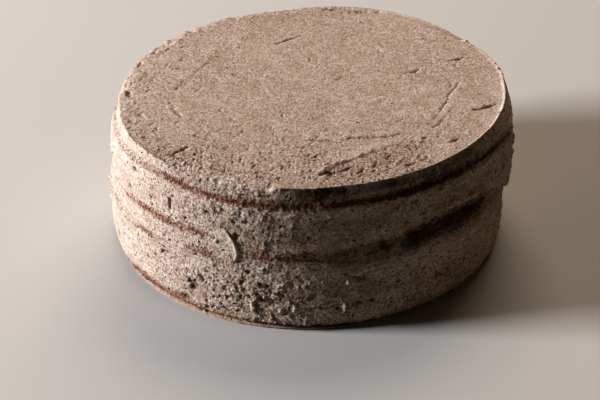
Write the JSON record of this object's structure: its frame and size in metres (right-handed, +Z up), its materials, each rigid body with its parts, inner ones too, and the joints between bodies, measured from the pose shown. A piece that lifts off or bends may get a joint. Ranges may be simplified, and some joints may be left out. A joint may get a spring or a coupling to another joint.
{
  "type": "layer cake",
  "caption": "Round chocolate sponge layer cake with a cream filling, covered in thin scraped speckled cream that lets the sponge edges show.",
  "frame": {"origin": "centre of the flat base, on the surface that the cake rests on", "axes": "+Z up through the layers, -Y towards the front of the cake, +X to its right"},
  "size_m": [0.2081, 0.2058, 0.0797],
  "materials": {
    "cream": "matt whipped cream flecked with dark cookie crumb",
    "sponge": "matt open chocolate sponge crumb"
  },
  "bodies": {
    "root": {"bottom_sponge": "sponge", "filling": "cream", "top_sponge": "sponge", "top_cream": "cream", "upper_coat": "cream", "lower_coat": "cream", "swiped_cream": "cream"}
  },
  "joints": []
}
